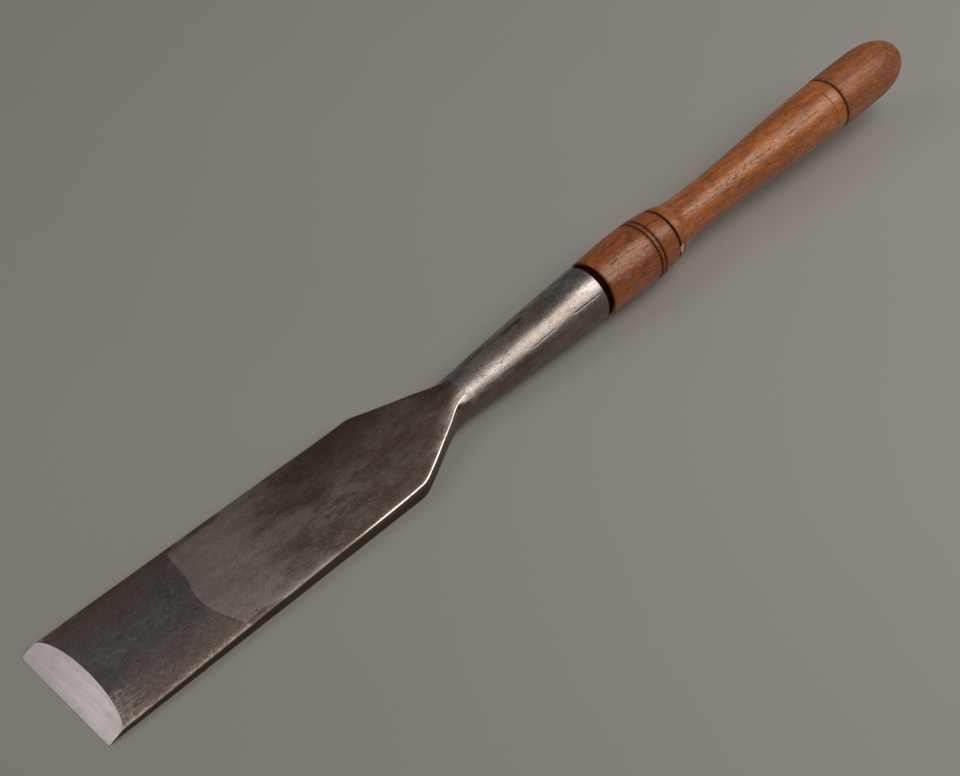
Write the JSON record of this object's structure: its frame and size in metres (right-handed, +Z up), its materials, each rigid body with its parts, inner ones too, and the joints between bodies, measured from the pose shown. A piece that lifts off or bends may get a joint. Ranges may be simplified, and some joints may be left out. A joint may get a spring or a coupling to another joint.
{
  "type": "slick chisel",
  "caption": "Wide, long socket paring chisel with a crowned blade, square shoulders, a tapered forged socket and a turned wooden handle that pulls out.",
  "frame": {"origin": "on the surface that the tool lies on, under the middle of its length and width", "axes": "+X from the cutting edge to the butt of the handle, +Y across the blade, +Z up out of the blade's crowned face"},
  "size_m": [0.8398, 0.089, 0.0662],
  "materials": {
    "bit_steel": "satin",
    "blade_iron": "satin",
    "socket_iron": "satin",
    "handle_wood": "satin"
  },
  "bodies": {
    "tool_head": {"steel_bit": "bit_steel", "blade_body": "blade_iron", "socket": "socket_iron"},
    "handle_body": {"handle": "handle_wood"}
  },
  "joints": [
    {"name": "handle_pull", "type": "slide", "parent": "tool_head", "child": "handle_body", "axis": [0.9982, 0, 0.0599], "range_m": [0, 0.112]}
  ]
}
